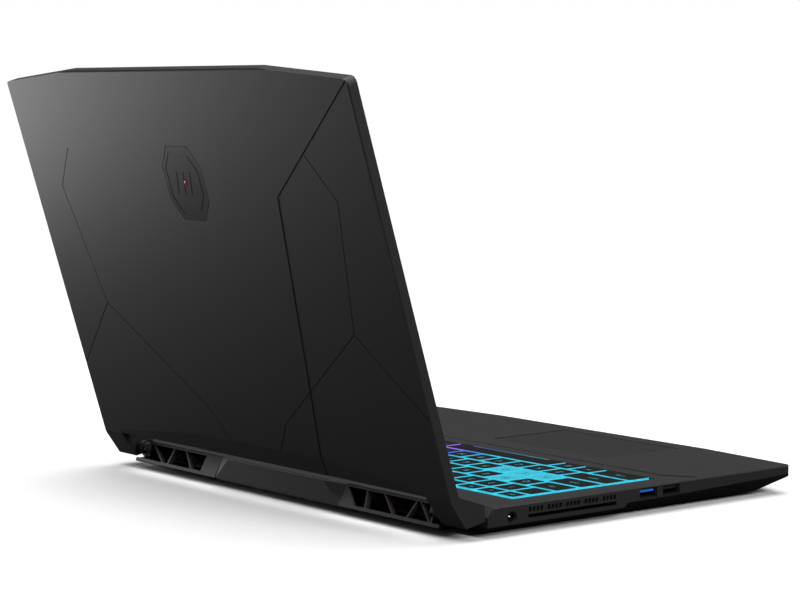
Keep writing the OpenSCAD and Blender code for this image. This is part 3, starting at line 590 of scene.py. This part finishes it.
def rectangle(x, y0, y1, z0, z1, direction):
    """A rectangle across the socket, wound so that its outside faces along the direction."""
    loop = [(x, y0, z0), (x, y1, z0), (x, y1, z1), (x, y0, z1)]
    return loop if direction > 0 else loop[::-1]


def usb_tongue(name, mouth, direction, material):
    """The tongue of a socket with its contacts on the underside."""
    x_face = mouth.x - direction * tongue_setback
    x_back = mouth.x - direction * tongue_root
    y0, y1 = mouth.y - tongue_width / 2, mouth.y + tongue_width / 2
    z0 = mouth.z + tongue_lift - tongue_height / 2
    z1 = mouth.z + tongue_lift + tongue_height / 2
    e = tongue_edge
    shape = Shape()
    shape.skin([rectangle(x_back, y0, y1, z0, z1, direction),
                rectangle(x_face - direction * e, y0, y1, z0, z1, direction),
                rectangle(x_face, y0 + e, y1 - e, z0 + e, z1 - e, direction)], [0, 0])
    piece(name, shape.points, shape.faces, [material], "base")
    contacts = Shape()
    for i in range(4):
        y = mouth.y + (i - 1.5) * contact_pitch
        ends = (x_back, x_face - direction * contact_setback)
        contacts.skin([rectangle(x, y - contact_half, y + contact_half, z0 - contact_under, z0 + contact_sunk,
                                 direction) for x in ends], [0])
    piece(name + "_contacts", contacts.points, contacts.faces, ["copper"], "base")


usb_tongue("usb_left_rear_tongue", mounts["usb_a_left_rear"], -1, "port_tongue_blue")
usb_tongue("usb_left_front_tongue", mounts["usb_a_left_front"], -1, "port_plastic")
usb_tongue("usb_right_tongue", mounts["usb_a_right"], 1, "port_plastic")

# The small red dot in the badge; the lid rests open by as much as its hinge can close
badge_low, badge_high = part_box("lid_badge")
badge_middle = (badge_low + badge_high) / 2
open_angle = math.radians(-joints["lid_hinge"]["range_deg"][0])
outward = Vector((0, math.sin(open_angle), math.cos(open_angle)))
dot_profile = [(0, 1.5 * MM), (0.35 * MM, 1.5 * MM), (0.5 * MM, 1.25 * MM), (0.56 * MM, 0.6 * MM)]
lathe("badge_dot", badge_middle - outward * 0.1 * MM, outward, dot_profile, "accent_red", "lid")


# ---- camera, floor and light ------------------------------------------------------------------

def aim(thing, place, target, roll=0.0):
    """Puts a camera or lamp in its place and turns it to look at the target."""
    forward = (Vector(target) - Vector(place)).normalized()
    right = forward.cross(Vector((0, 0, 1))).normalized()
    up = right.cross(forward)
    x_axis = math.cos(roll) * right + math.sin(roll) * up
    y_axis = -math.sin(roll) * right + math.cos(roll) * up
    turn = Matrix((x_axis, y_axis, -forward)).transposed().to_4x4()
    thing.matrix_world = Matrix.Translation(place) @ turn


camera_data = bpy.data.cameras.new("camera")
camera_data.sensor_width = 36
camera_data.lens = 108.66
camera_roll = -0.005
camera = bpy.data.objects.new("camera", camera_data)
scene.collection.objects.link(camera)
aim(camera, (-1.17616, 0.90554, 0.24771), (0, -0.00478, 0.11446), camera_roll)
scene.camera = camera

# A pale floor, which is darker in reflections so that the leaning lid stays dark
floor_mesh = bpy.data.meshes.new("floor")
reach = 60.0
floor_mesh.from_pydata([(-reach, -reach, 0), (reach, -reach, 0), (reach, reach, 0), (-reach, reach, 0)],
                       [], [(0, 1, 2, 3)])
floor_look = surface("floor_paper", (0.88, 0.88, 0.88), (0.6, 0.7), grain=240.0, grain_depth=0.02,
                     spread=0.01, specular=0.0, blotch=1.5)
floor_mesh.materials.append(floor_look.material)
shade_card = floor_look.add("ShaderNodeBsdfDiffuse")
shade_card.inputs["Color"].default_value = (0.08, 0.08, 0.08, 1)
directly = floor_look.add("ShaderNodeLightPath")
either = floor_look.add("ShaderNodeMixShader")
floor_look.link(directly.outputs["Is Camera Ray"], either.inputs["Fac"])
floor_look.link(shade_card.outputs["BSDF"], either.inputs[1])
floor_look.link(floor_look.shader.outputs["BSDF"], either.inputs[2])
floor_look.link(either.outputs["Shader"], floor_look.tree.nodes["Material Output"].inputs["Surface"])
floor = bpy.data.objects.new("floor", floor_mesh)
scene.collection.objects.link(floor)


def area(name, place, target, width, height, power):
    """A soft rectangular lamp, in watts, that the camera doesn't see."""
    data = bpy.data.lights.new(name, "AREA")
    data.shape = "RECTANGLE"
    data.size = width
    data.size_y = height
    data.energy = power
    lamp = bpy.data.objects.new(name, data)
    scene.collection.objects.link(lamp)
    lamp.visible_camera = False
    aim(lamp, place, target)


sun_data = bpy.data.lights.new("overhead", "SUN")
sun_data.energy = 3.6
sun_data.angle = math.radians(80)
sun = bpy.data.objects.new("overhead", sun_data)
scene.collection.objects.link(sun)
aim(sun, (0.3, 0.2, 3), (0, 0, 0))
area("side_card", (-1.6, 0.2, 0.9), (-0.18, 0.1, 0.1), 0.9, 0.7, 22)
area("low_card", (0.85, 0.35, 0.15), (0.17, 0.1, 0.17), 0.3, 0.3, 2.1)

# White behind the object, with only a dim share of it in the light
world = bpy.data.worlds.new("studio")
world.use_nodes = True
backdrop = world.node_tree.nodes["Background"]
backdrop.inputs["Color"].default_value = (1, 1, 1, 1)
backdrop.inputs["Strength"].default_value = 1.0
dim = world.node_tree.nodes.new("ShaderNodeBackground")
dim.inputs["Color"].default_value = (1, 1, 1, 1)
dim.inputs["Strength"].default_value = 0.05
seen = world.node_tree.nodes.new("ShaderNodeLightPath")
blend = world.node_tree.nodes.new("ShaderNodeMixShader")
world.node_tree.links.new(seen.outputs["Is Camera Ray"], blend.inputs["Fac"])
world.node_tree.links.new(dim.outputs["Background"], blend.inputs[1])
world.node_tree.links.new(backdrop.outputs["Background"], blend.inputs[2])
world.node_tree.links.new(blend.outputs["Shader"], world.node_tree.nodes["World Output"].inputs["Surface"])
scene.world = world
scene.view_settings.view_transform = "Standard"
